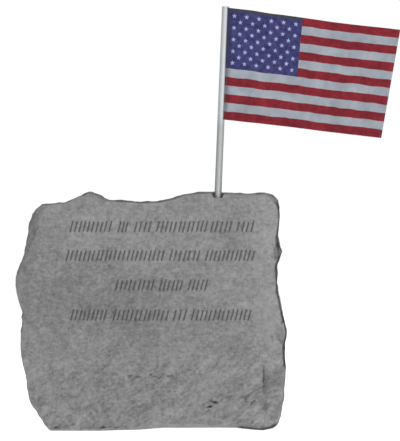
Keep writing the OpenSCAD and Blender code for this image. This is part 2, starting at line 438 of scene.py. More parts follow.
def edge_radius(tree, angle):
    """How far out the stone reaches in one direction from its middle, at any depth."""
    out = around(angle)
    best = 0
    for y in np.linspace(FACE_Y + 8, BACK_Y - 12, 12):
        start = np.array([0, y, MIDDLE_H]) + out * SEARCH
        hit = tree.ray_cast(Vector(start), Vector(-out))[0]
        if hit is not None:
            best = max(best, hypot(hit.x, hit.z - MIDDLE_H))
    return best


def even_angles(tree):
    """Angles round the stone that are evenly spaced along its edge, from straight left on."""
    angles = np.linspace(-pi, pi, 900)
    radii = np.array([edge_radius(tree, a) for a in angles])
    points = np.stack([radii * np.cos(angles), radii * np.sin(angles)], -1)
    length = np.concatenate([[0], np.cumsum(np.linalg.norm(np.diff(points, axis=0), axis=1))])
    count = int(length[-1] / RIM_STEP)
    return np.interp(np.arange(count) * length[-1] / count, length, angles)


def by_mouth(p):
    """Which points lie in or beside the socket's mouth, which is open to the front."""
    off = p - pole_foot
    along = off @ pole_axis
    off = off - along[:, None] * pole_axis
    gap = np.hypot(off[:, 0], np.clip(off[:, 1], 0, None))
    return (gap < POLE_D / 2 + MOUTH_FLARE + 3) & (along > -5)


def depth_at(tree, x, z, from_front):
    way = 1 if from_front else -1
    start = FACE_Y - 20 if from_front else BACK_Y + 20
    hit = tree.ray_cast(Vector((x, start, z)), Vector((0, way, 0)))[0]
    return np.nan if hit is None else hit.y


def fill_gaps(values, good):
    """Values round the edge with the bad ones bridged from their neighbours."""
    at = np.arange(len(values))
    out = values.copy()
    for c in range(values.shape[1]):
        out[~good, c] = np.interp(at[~good], at[good], values[good, c])
    return out


def rim_rings(tree):
    """Rings of points round the stone's edge, from the front face to the back face."""
    angles = even_angles(tree)
    radii = np.array([edge_radius(tree, a) for a in angles])
    # For each ring: how far past the edge it aims, and where from the face (0) to the back (1).
    targets = np.concatenate([
        np.stack([np.linspace(-RIM_INSET, 0, FACE_RINGS + 1), np.zeros(FACE_RINGS + 1)], -1),
        np.stack([np.zeros(SIDE_RINGS), np.linspace(0, 1, SIDE_RINGS + 2)[1:-1]], -1),
        np.stack([np.linspace(0, -RIM_INSET, BACK_RINGS), np.ones(BACK_RINGS)], -1),
    ])
    rings = np.zeros((len(targets), len(angles), 3))
    middle = np.array([0, 0, MIDDLE_H])
    outward = np.stack([around(a) for a in angles])
    core = middle + outward * (radii - CORE_INSET)[:, None]
    for k, (past_edge, back_share) in enumerate(targets):
        aim = middle + outward * (radii + past_edge)[:, None]
        face_y = face_height(aim[:, 0], aim[:, 2], solid_patch_share(aim[:, 0], aim[:, 2]))
        aim[:, 1] = lerp(face_y, BACK_Y, back_share)
        for j in range(len(angles)):
            hit = tree.ray_cast(Vector(core[j]), Vector(aim[j] - core[j]))[0]
            rings[k, j] = hit if hit is not None else aim[j]
    for k in range(len(rings)):
        rings[k] = fill_gaps(rings[k], ~by_mouth(rings[k]))
    return angles, radii, rings


def edge_inset(x, z, angles, radii):
    """How far a place lies inside the stone's edge."""
    edge = np.interp(np.arctan2(z - MIDDLE_H, x), angles, radii, period=2 * pi)
    return edge - np.hypot(x, z - MIDDLE_H)


def grid_inside(angles, ring, step, draws):
    """Slightly uneven grid points inside a ring."""
    limit = np.hypot(ring[:, 0], ring[:, 1] - MIDDLE_H)
    reach = limit.max()
    rows = int(2 * reach / (step * ROW_SHARE)) + 1
    columns = int(2 * reach / step) + 1
    i, j = np.meshgrid(np.arange(columns), np.arange(rows))
    x = (i + 0.5 * (j % 2)) * step - reach
    z = j * step * ROW_SHARE - reach
    p = np.stack([x.ravel(), z.ravel()], -1)
    p += draws.uniform(-GRID_UNEVEN, GRID_UNEVEN, p.shape) * step
    angle = np.arctan2(p[:, 1], p[:, 0])
    allowed = np.interp(angle, angles, limit, period=2 * pi)
    return p[np.linalg.norm(p, axis=1) < allowed - 0.55 * step] + np.array([0, MIDDLE_H])


def far_from_lines(points, lines, gap):
    """Which points are clear of all strokes."""
    clear = np.ones(len(points), bool)
    for line in lines:
        low, high = line.min(0) - gap, line.max(0) + gap
        near = np.flatnonzero(((points > low) & (points < high)).all(1))
        away = np.hypot(*(points[near][:, None] - line[None]).transpose(2, 0, 1))
        clear[near[away.min(1) < gap]] = False
    return clear


def filled(ring, extra, loops):
    """Triangles that fill a ring, through extra points and along closed loops."""
    points = np.concatenate([ring, extra] + loops)
    edges = [(k, (k + 1) % len(ring)) for k in range(len(ring))]
    at = len(ring) + len(extra)
    for loop in loops:
        edges += [(at + k, at + (k + 1) % len(loop)) for k in range(len(loop))]
        at += len(loop)
    made = delaunay_2d_cdt([Vector(p) for p in points.tolist()], edges, [], 1, 1e-5, True)
    new_points = np.array([tuple(p) for p in made[0]])
    source = np.array([o[0] if o else -1 for o in made[3]])
    faces = np.array(made[2])
    return new_points, faces[inside_ring(ring, new_points[faces].mean(1))], source


def inside_ring(ring, points):
    """Which points lie inside a ring whose points go round the stone's middle in order."""
    middle = np.array([0, MIDDLE_H])
    ring, points = ring - middle, points - middle
    turn = np.arctan2(ring[:, 1], ring[:, 0])
    order = np.argsort(turn)
    at = np.searchsorted(turn[order], np.arctan2(points[:, 1], points[:, 0]))
    a, b = ring[order[(at - 1) % len(ring)]], ring[order[at % len(ring)]]
    along, off = b - a, points - a
    return along[:, 0] * off[:, 1] - along[:, 1] * off[:, 0] > 0


def front_y(tree, x, z, inset):
    """The front surface: the face's own shape, and as much as the solid's bevel takes off it."""
    y = face_height(x, z, patch_share(x, z))
    near = np.flatnonzero(inset < BEVEL_REACH)
    nx, nz = x[near], z[near]
    solid = np.array([depth_at(tree, a, b, True) for a, b in zip(nx, nz)])
    taken = solid - face_height(nx, nz, solid_patch_share(nx, nz))

    # The solid's facets stray from its true surface, most of all beside the patch.
    coarse = 0.6 + 3.4 * ramp((nx - patch_end_x + 25) / 20) * ramp((PATCH_SIDE_H + 30 - nz) / 20)
    taken = np.clip(taken - coarse, 0, None) * ramp((BEVEL_REACH - inset[near]) / 8)
    y[near] += np.where(np.isnan(taken), 0, taken)
    return np.maximum(y, face_height(x, z, 0) + chips(x, z)[0])


def vertex_normals(points, faces):
    a, b, c = points[faces[:, 0]], points[faces[:, 1]], points[faces[:, 2]]
    across = np.cross(b - a, c - a)
    total = np.zeros_like(points)
    for k in range(3):
        np.add.at(total, faces[:, k], across)
    return total / np.maximum(np.linalg.norm(total, axis=1), 1e-9)[:, None]


def add_object(name, data):
    obj = bpy.data.objects.new(name, data)
    bpy.context.scene.collection.objects.link(obj)
    return obj


def make_mesh(name, points, faces, values=None, smooth=True):
    """A mesh object from points in mm, with a named value for each point."""
    mesh = bpy.data.meshes.new(name)
    mesh.from_pydata((points * MM).tolist(), [], faces.tolist())
    mesh.validate()
    for key, value in (values or {}).items():
        attribute = mesh.attributes.new(key, "FLOAT", "POINT")
        attribute.data.foreach_set("value", value.astype(np.float32))
    if smooth:
        mesh.shade_smooth()
    return add_object(name, mesh)


def ring_places(source, count):
    """Where each point of a ring has gone in the mesh that fills it."""
    where = {int(s): k for k, s in enumerate(source) if 0 <= s < count}
    return np.array([where[k] for k in range(count)])


def front_part(tree, angles, radii, ring, draws):
    """A fine mesh inside the first ring, with two outlines a stroke, at its edge and its floor."""
    lines = row_strokes()
    loops = []
    for line in lines:
        loops += [ribbon(line, STROKE_W / 2), ribbon(line, STROKE_W / 2 - STROKE_SLOPE)]
    extra = grid_inside(angles, ring, FRONT_STEP, draws)
    extra = extra[far_from_lines(extra, lines, STROKE_W / 2 + STROKE_CLEAR)]
    flat, faces, source = filled(ring, extra, loops)
    x, z = flat[:, 0], flat[:, 1]
    y = front_y(tree, x, z, edge_inset(x, z, angles, radii))
    cut = np.zeros(len(flat))
    at = len(ring) + len(extra)
    for k, loop in enumerate(loops):
        cut[(source >= at) & (source < at + len(loop))] = FLOOR_CUT if k % 2 else EDGE_CUT
        at += len(loop)
    return np.stack([x, y, z], -1), faces, ring_places(source, len(ring)), cut


def back_part(tree, angles, ring, draws):
    """A coarser mesh inside the last ring."""
    flat, faces, source = filled(ring, grid_inside(angles, ring, BACK_STEP, draws), [])
    y = np.array([depth_at(tree, p[0], p[1], False) for p in flat])
    return np.stack([flat[:, 0], y, flat[:, 1]], -1), faces, ring_places(source, len(ring))


def meet_front(tree, rings):
    """The rings follow the front's own shape, and its chips, where they meet it."""
    for k in range(1, FACE_RINGS + 1):
        x, y, z = rings[k].T
        own = np.stack([front_y(tree, x, z, 0 * x)], -1)
        own = fill_gaps(own, ~by_mouth(rings[k]))[:, 0]
        rings[k][:, 1] = lerp(own, y, ramp(k / (FACE_RINGS + 1)))
    for k in range(1, CHIPPED_RINGS):
        x, y, z = rings[k].T
        fall = chips(x, z)[0]
        rings[k][:, 1] = np.where(fall > 0.5, np.maximum(y, face_height(x, z, 0) + fall), y)


def faces_between(ring_ids):
    """Triangles from each ring to the next."""
    faces = []
    for a, b in zip(ring_ids, ring_ids[1:]):
        a2, b2 = np.roll(a, -1), np.roll(b, -1)
        faces += [np.stack([a, b, a2], -1), np.stack([a2, b, b2], -1)]
    return faces


def facing(normals):
    """How far each point belongs to the front, to the broken edge and to the back.

    One passes into the next where the surface turns from 32 to 63 degrees off straight on.
    """
    back = normals[:, 1]
    front_w, back_w = ramp((-back - 0.45) / 0.4), ramp((back - 0.45) / 0.4)
    return front_w, 1 - front_w - back_w, back_w


def carved(points, normals, on_floor):
    """The points with all relief, kept inside the stone's box, and how deep the fine relief is."""
    px, pz = points[:, 0], points[:, 2]
    relief = np.zeros(len(points))
    for weight, shape in zip(facing(normals), (face_relief, side_relief, back_relief)):
        some = weight > 0
        relief[some] += weight[some] * shape(points[some])
    under = ramp(-normals[:, 2] / 0.5) * (1 - ramp(pz / 9))
    relief *= 1 - UNDER_FLAT * under
    points = points - normals * relief[:, None]
    points[:, 1] += np.where(on_floor, STROKE_DEPTH, 0)

    # The lift is in the middle of the lower edge, and dies out behind the face.
    lift = LIFT * ramp((px + 30) / 90) * (1 - ramp((px - 120) / 90))
    lift = lift * (1 - ramp((points[:, 1] - FACE_Y - 38) / 30)) * (1 - ramp(pz / 30))
    dip = sum(deep * ramp(1.4 - np.abs(px - mid) / half) for mid, half, deep in DIPS)
    dip = dip * ramp((pz - 380) / 25)
    points[:, 2] += lift - dip
    return np.clip(points, stone_low, stone_high), relief


def step_shade(px, pz):
    """Dark on the patch just past its step, and dying away to the right."""
    past = px - patch_side_x
    shade = ramp((past + 3) / 4) * (0.12 + 0.4 * np.exp(-np.clip(past - 5, 0, None) / 5))
    return shade * ramp((PATCH_SIDE_H - pz) / 20) * ramp((pz - 58) / 18) * ramp((243 - px) / 16)


def crevice_shade(px, pz, points):
    """Dark and ragged under the ledge, left of the step."""
    depth = (in_patch(px, pz) - 2.0) / 2.4
    shade = np.exp(-(depth**2)) * ramp(0.9 + 1.2 * noise(points / 6, 83))
    return shade * ramp((px - patch_end_x) / 8) * (px - patch_side_x < 2)


def left_of_step_light(px, pz):
    """Light on the face just left of the patch's step."""
    past = px - patch_side_x
    light = ramp((past + 30) / 15) * ramp((-1 - past) / 3)
    return light * ramp((pz - 75) / 10) * ramp((125 - pz) / 15)


def stone_values(before, points, normals, relief, inset):
    """Two values a point for the material: its dirt and painted shade, and its fine relief with
    the broad darker and lighter areas and painted light.

    Places come from the points before their relief, and grain from the points after it.
    """
    px, pz = before[:, 0], before[:, 2]
    depth = points[:, 1] - FACE_Y
    front_w, side_w, back_w = facing(normals)
    right, back, up = normals.T
    broken = ramp(in_patch(px, pz) / 5) * (pz > 12)
    rim = ramp((9 - inset) / 5) * (1 - ramp((depth - 16) / 14))
    top = ramp((up - 0.3) / 0.4) * (1 - ramp((depth - 30) / 20))

    # Dirt and painted shade: painted shade in holes, on rims, chips and the left bend and beside
    # the patch; dirt on the edge and back.
    hollow = 0.9 * dark_pits(px, pz) + 0.55 * scar(px, pz)
    hollow = hollow * ramp(-back / 0.3)
    grain = 0.5 + 0.5 * layered(points / 21, 81, 3)
    # Painted shade on the right side of the front rim, and under the lower right edge.
    painted_shade_right = ramp((right - 0.1) / 0.3) * ramp((pz - 25) / 20) * rim * (1 - 0.9 * broken)
    painted_shade_right = painted_shade_right * (1 - 0.8 * ramp((up - 0.2) / 0.3))
    painted_shade_below = ramp(-up / 0.4) * ramp((16 - pz) / 8) * ramp((px - 150) / 12)
    # Dirt with painted shade on the broken edge all round, less where it faces up, and dirt on the
    # back.
    dirt_and_shade = side_w * (1 - 0.8 * top) * (0.08 + 0.12 * grain) + 0.25 * back_w * grain
    dirt_and_shade = dirt_and_shade + 0.85 * painted_shade_right + 0.9 * painted_shade_below
    # Painted shade on the face's bend toward its left edge, and in the holes and the scar.
    dirt_and_shade = dirt_and_shade + front_w * 0.1 * ramp(bend_share(px, pz) * 1.5) + 0.9 * hollow
    # Painted shade beside the patch's step and under its ledge.
    dirt_and_shade = dirt_and_shade + front_w * (0.85 * step_shade(px, pz) + 0.8 * crevice_shade(px, pz, points))
    # Painted shade on the chips' turned-back faces.
    dirt_and_shade = dirt_and_shade + chips(px, pz)[1] * (1 - back_w)

    # Tone: painted shade where the fine relief is deeper, a broad darker area at the middle left
    # and a lighter one at the right, and painted light on rims turned from the front.
    level = 0.5 + 0.66 * lower_share(px, pz) + 1.05 * patch_share(px, pz)
    darker_middle_left = 0.8 * np.exp(-(((px + 80) / 115) ** 2) - ((pz - 218) / 72) ** 2)
    lighter_right = 0.5 * ramp((px - 150) / 60) * ramp((pz - 90) / 60)
    # Painted light on the rim where it turns from the front, except to the right, on the broken
    # patch's rim, on faces turned up and just left of the step.
    turned = ramp((0.9 + back) / 0.5) * (right < 0.15) * rim * ramp((pz - 30) / 20)
    painted_light = turned + 0.7 * broken * rim + 1.2 * top
    painted_light = painted_light + 0.45 * (left_of_step_light(px, pz) * front_w)
    fine = front_w * (relief - front_w * level + darker_middle_left - lighter_right) - painted_light
    return {"dirt_and_shade": np.clip(dirt_and_shade, 0, 1), "fine": fine}


def build_stone():
    draws = np.random.default_rng(SEED + 1)
    tree = surface_tree()
    angles, radii, rings = rim_rings(tree)
    count = len(angles)
    first, last = rings[0][:, [0, 2]], rings[-1][:, [0, 2]]
    front, front_faces, front_ring, front_cut = front_part(tree, angles, radii, first, draws)
    meet_front(tree, rings)
    back, back_faces, back_ring = back_part(tree, angles, last, draws)

    # One list of points: the front, the rings between, and the back.
    between = rings[1:-1]
    points = np.concatenate([front, between.reshape(-1, 3), back])
    back_start = len(points) - len(back)
    ring_ids = [front_ring]
    ring_ids += [len(front) + k * count + np.arange(count) for k in range(len(between))]
    ring_ids += [back_start + back_ring]
    faces = [front_faces, back_faces[:, ::-1] + back_start] + faces_between(ring_ids)
    faces = np.concatenate(faces)
    cut = np.concatenate([front_cut, np.zeros(len(points) - len(front))])
    normals = vertex_normals(points, faces)
    shaped, relief = carved(points, normals, cut == FLOOR_CUT)
    inset = edge_inset(points[:, 0], points[:, 2], angles, radii)
    values = {"cut": cut, **stone_values(points, shaped, normals, relief, inset)}
    return make_mesh("memorial_stone", shaped, faces, values)


CUTTER_TURNS = 64
CUTTER_PAST = 6.0
MOUTH_STEPS = 8
MOUTH_START = 0.02
MOUTH_ROUGH = 1.1
SOCKET_PAINTED_SHADE = 0.4


def socket_stations():
    """Heights along the socket, with its radius there and how far it reaches to the front."""
    radius = POLE_D / 2 + SOCKET_GAP
    mouth_low = SOCKET_DEPTH - MOUTH_DEPTH
    to_front = pole_foot[1] - FACE_Y + CUTTER_PAST
    stations = [(0.0, radius, 0.0), (mouth_low, radius, 0.0)]
    for k in range(MOUTH_STEPS + 1):
        h = mouth_low + MOUTH_START + k / MOUTH_STEPS * (MOUTH_DEPTH + CUTTER_PAST)
        flared = radius + MOUTH_FLARE * (h - mouth_low) / MOUTH_DEPTH
        stations.append((h, flared, to_front))
    return stations


def socket_cutter():
    """The socket, and its chipped mouth that is open to the front, as a closed solid."""
    turns = CUTTER_TURNS
    stations = socket_stations()
    points = []
    for h, reach, forward in stations:
        for k in range(turns):
            flat = off_pole(2 * pi * (k + 0.5) / turns)
            p = pole_foot + pole_axis * h + flat * reach
            if flat[1] < 0:
                p = p - back_axis * forward
            chip = layered((p / 5)[None], 91, 3)[0] if forward else 0
            points.append(p + flat * MOUTH_ROUGH * chip)
    points += [pole_foot, pole_foot + pole_axis * stations[-1][0]]
    low, high = len(points) - 2, len(points) - 1
    faces = []
    for s in range(len(stations) - 1):
        for k in range(turns):
            a, b = s * turns + k, s * turns + (k + 1) % turns
            faces += [(a, b, a + turns), (b, b + turns, a + turns)]
    last = (len(stations) - 1) * turns
    for k in range(turns):
        faces += [(low, (k + 1) % turns, k), (high, last + k, last + (k + 1) % turns)]
    none = np.zeros(len(points))
    # The socket's walls carry painted shade, as a recess.
    values = {"cut": none, "fine": none, "dirt_and_shade": none + SOCKET_PAINTED_SHADE}
    return make_mesh("socket_cutter", np.array(points), np.array(faces), values, smooth=False)


def cut_away(piece, cutter):
    tool = piece.modifiers.new("socket", "BOOLEAN")
    tool.object = cutter
    tool.operation = "DIFFERENCE"
    tool.solver = "MANIFOLD"
    view = bpy.context.evaluated_depsgraph_get()
    mesh = bpy.data.meshes.new_from_object(piece.evaluated_get(view), depsgraph=view)
    piece.modifiers.clear()
    old = piece.data
    piece.data = mesh
    mesh.name = old.name
    bpy.data.meshes.remove(old)
    bpy.data.objects.remove(cutter)


# ---- the tube

TUBE_TURNS = 96
TUBE_STEPS = 48
TUBE_LIP = 0.25


def tube_profile():
    """Radius and height along the tube's wall: up the outside, over the lip and down the bore."""
    outer, inner = POLE_D / 2, POLE_D / 2 - POLE_WALL
    rise = POLE_L - 2 * TUBE_LIP
    profile = [(outer, TUBE_LIP)]
    profile += [(outer, TUBE_LIP + rise * k / TUBE_STEPS) for k in range(1, TUBE_STEPS + 1)]
    profile += [(outer - TUBE_LIP, POLE_L), (inner + TUBE_LIP, POLE_L)]
    profile += [(inner, POLE_L - TUBE_LIP), (inner, POLE_L / 2), (inner, TUBE_LIP)]
    profile += [(inner + TUBE_LIP, 0), (outer - TUBE_LIP, 0)]
    return profile


def build_tube():
    """The thin-walled tube, with its cut ends broken by a hair's width."""
    profile = tube_profile()
    points = []
    for reach, h in profile:
        for k in range(TUBE_TURNS):
            flat = off_pole(2 * pi * k / TUBE_TURNS)
            points.append(pole_foot + pole_axis * h + flat * reach)
    faces = []
    for s in range(len(profile)):
        here, there = s * TUBE_TURNS, (s + 1) % len(profile) * TUBE_TURNS
        for k in range(TUBE_TURNS):
            after = (k + 1) % TUBE_TURNS
            faces.append((here + k, here + after, there + after, there + k))
    piece = make_mesh("flag_tube", np.array(points), np.array(faces))
    mesh = piece.data
    mesh.set_sharp_from_angle(angle=radians(40))
    drawn = mesh.uv_layers.new(name="drawn")
    coords = np.zeros(len(mesh.loops) * 2)
    for p in mesh.polygons:
        for loop in p.loop_indices:
            s, k = divmod(mesh.loops[loop].vertex_index, TUBE_TURNS)
            closes = k == 0 and p.index % TUBE_TURNS == TUBE_TURNS - 1
            coords[2 * loop] = (TUBE_TURNS if closes else k) / TUBE_TURNS
            coords[2 * loop + 1] = profile[s][1] / POLE_L
    drawn.data.foreach_set("uv", coords)
    return piece


# ---- the flag

FLAG_FLY = 305.0
FLAG_HOIST = 197.0
FLAG_THICK = 1.0
FLAG_BELOW_TOP = 3.0
FLAG_DROOP = radians(6.7)
FLAG_GAP = 0.3
GLUE_FROM, GLUE_TO = radians(35), radians(80)
TURN_R = 4.0
WAVE_H, WAVE_L, WAVE_TAKE = 11.0, 128.0, 0.085
WAVE_FULL_AT, WAVE_TOP_SHARE, WAVE_LAG = 0.83, 0.25, 50.0
CLOTH_STEP = 1.3
HEM = 5.0
CLOTH_HALF = 0.24
HEM_HALF = 0.44

wrap_r = POLE_D / 2 + FLAG_GAP + FLAG_THICK / 2
glued_l = (GLUE_TO - GLUE_FROM) * wrap_r
turned_l = GLUE_TO * TURN_R
free_x = (wrap_r + TURN_R) * sin(GLUE_TO)
free_y = TURN_R - (wrap_r + TURN_R) * cos(GLUE_TO)
free_l = FLAG_FLY + POLE_D / 2 - free_x
cloth_l = glued_l + turned_l + free_l
hang = tan(FLAG_DROOP - POLE_LEAN)


def wave(s, v):
    size = WAVE_H * ramp(s / free_l / WAVE_FULL_AT) * lerp(WAVE_TOP_SHARE, 1, v)
    return size * sind(360 * s / WAVE_L - WAVE_LAG * v)


def by_part(s, glued, turned, free):
    """Values by the part of the cloth: glued to the tube, turned in beside it, or free."""
    return np.where(s < glued_l, glued, np.where(s - glued_l - turned_l < 0, turned, free))


def hump(share, middle, half):
    return ramp(1 - np.abs(share - middle) / half)


def cloth_middle(s, v):
    """The cloth's middle surface in the tube's own axes: across, back, and up from its top."""
    on_glue = GLUE_FROM + s / glued_l * (GLUE_TO - GLUE_FROM)
    on_turn = GLUE_TO * (1 - (s - glued_l) / turned_l)
    free = s - glued_l - turned_l
    ripple = 0.35 * noise(np.stack([s / 17, v * 9, 0 * s], -1), 95) * ramp(free / 30)
    x = by_part(
        s,
        wrap_r * np.sin(on_glue),
        free_x - TURN_R * np.sin(on_turn),
        free_x + free * (1 - WAVE_TAKE * v),
    )
    y = by_part(
        s,
        -wrap_r * np.cos(on_glue),
        free_y - TURN_R * (1 - np.cos(on_turn)),
        free_y + wave(free, v) + ripple,
    )
    z = -FLAG_BELOW_TOP - FLAG_HOIST * v - np.clip(x, 0, None) * hang

    # The slow curves of its lower edge, and then of its top edge, in mm up.
    share = free / free_l
    z += 0.7 * v * hump(share, 0.34, 0.36)
    sag = 1.7 * hump(share, 0.62, 0.34) + 1.5 * ramp((share - 0.5) / 0.35)
    rise = 1.4 * ramp(1 - share / 0.2) + 1.1 * hump(share, 0.13, 0.12)
    z += (1 - v) * (rise - sag)
    return np.stack([x, y, z], -1)


def to_frame(p):
    """Points from the tube's own axes, with 0 at its top end, to the frame."""
    top = pole_foot + pole_axis * POLE_L
    return top + p[:, :1] * pole_side + p[:, 1:2] * back_axis + p[:, 2:] * pole_axis


def build_flag():
    """The cloth as a closed thin sheet, thicker along its hems."""
    columns = int(cloth_l / CLOTH_STEP)
    rows = int(FLAG_HOIST / CLOTH_STEP)
    s, v = np.meshgrid(np.linspace(0, cloth_l, columns), np.linspace(0, 1, rows))
    shape = s.shape
    s, v = s.ravel(), v.ravel()
    middle = cloth_middle(s, v)
    grid = middle.reshape(shape + (3,))
    across = np.cross(np.gradient(grid, axis=1), np.gradient(grid, axis=0)).reshape(-1, 3)
    across /= np.linalg.norm(across, axis=1)[:, None]
    to_edge = np.minimum(np.minimum(v, 1 - v) * FLAG_HOIST, cloth_l - s)
    half = lerp(HEM_HALF, CLOTH_HALF, ramp((to_edge - HEM) / 1.5))
    half = half * (1 - 0.5 * ramp(1 - to_edge / 0.9))
    front = to_frame(middle - across * half[:, None])
    back = to_frame(middle + across * half[:, None])
    points = np.concatenate([front, back])
    n = len(front)
    at = np.arange(n).reshape(shape)
    a, b = at[:-1, :-1].ravel(), at[:-1, 1:].ravel()
    d, c = at[1:, :-1].ravel(), at[1:, 1:].ravel()
    border = np.concatenate([at[0, :-1], at[:-1, -1], at[-1, :0:-1], at[:0:-1, 0]])
    after = np.roll(border, -1)
    faces = np.concatenate([
        np.stack([a, d, c, b], -1),
        np.stack([a, b, c, d], -1) + n,
        np.stack([border, after, after + n, border + n], -1),
    ])
    piece = make_mesh("memorial_flag", points, faces)
    mesh = piece.data
    uv = mesh.uv_layers.new(name="cloth")
    place = np.stack([s / cloth_l, 1 - v], -1)
    place = np.concatenate([place, place])
    index = np.zeros(len(mesh.loops), np.int32)
    mesh.loops.foreach_get("vertex_index", index)
    uv.data.foreach_set("uv", place[index].ravel())
    return piece


# ---- materials


class Nodes:
    """A material's node tree, built by short calls. A socket or a number goes in as an input."""

    def __init__(self, name):
        self.material = bpy.data.materials.new(name)
        self.material.use_nodes = True
        self.tree = self.material.node_tree
        self.tree.nodes.clear()
        self.shader = self.add("ShaderNodeBsdfPrincipled")
        out = self.add("ShaderNodeOutputMaterial")
        self.tree.links.new(self.shader.outputs[0], out.inputs["Surface"])

    def add(self, kind, inputs=None, **settings):
        node = self.tree.nodes.new(kind)
        for key, value in settings.items():
            setattr(node, key, value)
        for key, value in (inputs or {}).items():
            self.put(node, key, value)
        return node

    def put(self, node, key, value):
        if isinstance(value, bpy.types.NodeSocket):
            self.tree.links.new(value, node.inputs[key])
        else:
            node.inputs[key].default_value = value

    def math(self, how, *values):
        node = self.add("ShaderNodeMath", operation=how)
        for k, value in enumerate(values):
            self.put(node, k, value)
        return node.outputs[0]

    def plus(self, a, b):
        return self.math("ADD", a, b)

    def minus(self, a, b):
        return self.math("SUBTRACT", a, b)

    def times(self, a, b):
        return self.math("MULTIPLY", a, b)

    def fit(self, value, low, high, to_low=0.0, to_high=1.0):
        node = self.add("ShaderNodeMapRange")
        for k, v in enumerate((value, low, high, to_low, to_high)):
            self.put(node, k, v)
        return node.outputs[0]

    def blend(self, share, a, b):
        node = self.add("ShaderNodeMix", data_type="RGBA")
        for key, v in ((0, share), (6, a), (7, b)):
            self.put(node, key, v)
        return node.outputs[2]

    def noise(self, vector, scale, detail=3.0, rough=0.5):
        settings = {"Vector": vector, "Scale": scale, "Detail": detail, "Roughness": rough}
        return self.add("ShaderNodeTexNoise", settings).outputs[0]

    def place(self):
        return self.add("ShaderNodeTexCoord").outputs["Object"]

    def stretched(self, vector, turn, scale):
        node = self.add("ShaderNodeMapping", {"Vector": vector, "Rotation": turn, "Scale": scale})
        return node.outputs[0]

    def value_of(self, name):
        return self.add("ShaderNodeAttribute", attribute_name=name).outputs["Fac"]

    def bump(self, height, strength, distance, below=None):
        node = self.add("ShaderNodeBump", {"Strength": strength, "Distance": distance})
        self.put(node, "Height", height)
        if below is not None:
            self.put(node, "Normal", below)
        return node.outputs[0]

    def finish(self, **inputs):
        for key, value in inputs.items():
            self.put(self.shader, key.replace("_", " "), value)
        return self.material


def grey(v, warm=0.0):
    return (v * (1 + warm), v, v * (1 - warm), 1.0)


def stone_material():
    n = Nodes("cast_stone")
    at = n.place()
    broad = n.noise(at, 16.0, 3.0, 0.55)
    cloud = n.noise(at, 70.0, 3.0, 0.6)
    grain = n.noise(at, 170.0, 3.0, 0.65)
    speck = n.noise(at, 620.0, 3.0, 0.65)
    slant = n.stretched(at, (0, radians(34), 0), (0.35, 1.0, 1.0))
    streak = n.noise(slant, 230.0, 3.0, 0.6)
    tone = n.plus(n.fit(cloud, 0.3, 0.7, -0.4, 0.4), n.fit(grain, 0.3, 0.7, -0.7, 0.7))
    tone = n.plus(tone, n.fit(broad, 0.35, 0.65, -0.25, 0.25))
    tone = n.plus(tone, n.fit(streak, 0.3, 0.7, -0.35, 0.35))
    tone = n.plus(tone, n.fit(speck, 0.3, 0.7, -0.55, 0.55))
    # A higher fine value paints darker: painted shade in the relief's hollows and the broad darker
    # area; the lighter area and painted light lower it.
    tone = n.minus(tone, n.times(n.value_of("fine"), 0.9))
    base = n.blend(n.fit(tone, -1.9, 1.9), grey(0.093), grey(0.363))
    # Painted shade and dirt, broken up by the clouds, toward a near black.
    dirt_and_shade_share = n.times(n.value_of("dirt_and_shade"), n.fit(cloud, 0.25, 0.7, 0.75, 1.0))
    base = n.blend(dirt_and_shade_share, base, grey(0.022, 0.01))
    # The engraved strokes are darker: partly a darker fill, partly painted shade in the grooves.
    base = n.blend(n.times(n.value_of("cut"), 0.78), base, grey(0.085))
    coarse = n.bump(cloud, 0.35, 0.0009)
    fine = n.bump(grain, 0.5, 0.0005, coarse)
    return n.finish(
        Base_Color=base,
        Roughness=n.fit(grain, 0.3, 0.7, 0.86, 0.97),
        Specular_IOR_Level=0.25,
        Normal=n.bump(speck, 0.4, 0.00025, fine),
    )


def tube_material():
    n = Nodes("metal_tube")
    uv = n.add("ShaderNodeTexCoord").outputs["UV"]
    drawn = n.noise(n.stretched(uv, (0, 0, 0), (220.0, 1.6, 1.0)), 1.0, 3.0, 0.6)
    scuffs = n.noise(n.place(), 60.0, 4.0, 0.6)
    # The tube is greyer and duller on its lower part, below the flag.
    low = n.add("ShaderNodeSeparateXYZ", {"Vector": uv}).outputs[1]
    lower_tube = n.fit(low, 0.5, 0.44, 0.0, 1.0)
    colour = n.blend(n.fit(drawn, 0.3, 0.7), (0.46, 0.485, 0.5, 1), (0.67, 0.69, 0.715, 1))
    scuffed = n.times(n.fit(scuffs, 0.5, 0.72), 0.4)
    colour = n.blend(scuffed, colour, (0.6, 0.63, 0.66, 1))
    colour = n.blend(n.times(lower_tube, 0.6), colour, grey(0.36))
    return n.finish(
        Base_Color=colour,
        Metallic=0.8,
        Roughness=n.fit(drawn, 0.3, 0.7, 0.58, 0.68),
        Normal=n.bump(drawn, 0.12, 0.0001),
    )


STRIPES = 13
CANTON_STRIPES = 7
CANTON_SHARE = 0.432
STAR_COLUMNS = 11
STAR_ROWS = 9
STAR_R = 4.7
STARS_LOWER = 3.0
PRINT_SOFT = 0.3
WEAVE_STEP = 0.9


def star_shape(n, across, up, radius):
    """1 inside a five-pointed star about the origin that points up, 0 outside it."""
    fifth = 2 * pi / 5
    angle = n.math("ARCTAN2", across, up)
    turn = n.math("MODULO", n.plus(angle, 2 * pi), fifth)
    folded = n.math("ABSOLUTE", n.minus(turn, fifth / 2))
    reach = n.math("SQRT", n.plus(n.math("POWER", across, 2), n.math("POWER", up, 2)))
    tip = (radius * cos(fifth / 2), radius * sin(fifth / 2))
    inner = 0.382 * radius
    edge = (tip[1], inner - tip[0])
    size = hypot(*edge)
    px = n.times(reach, n.math("COSINE", folded))
    pz = n.times(reach, n.math("SINE", folded))
    outside = n.times(n.minus(px, inner), edge[0] / size)
    outside = n.plus(outside, n.times(pz, edge[1] / size))
    return n.fit(outside, -0.12, 0.12, 1.0, 0.0)


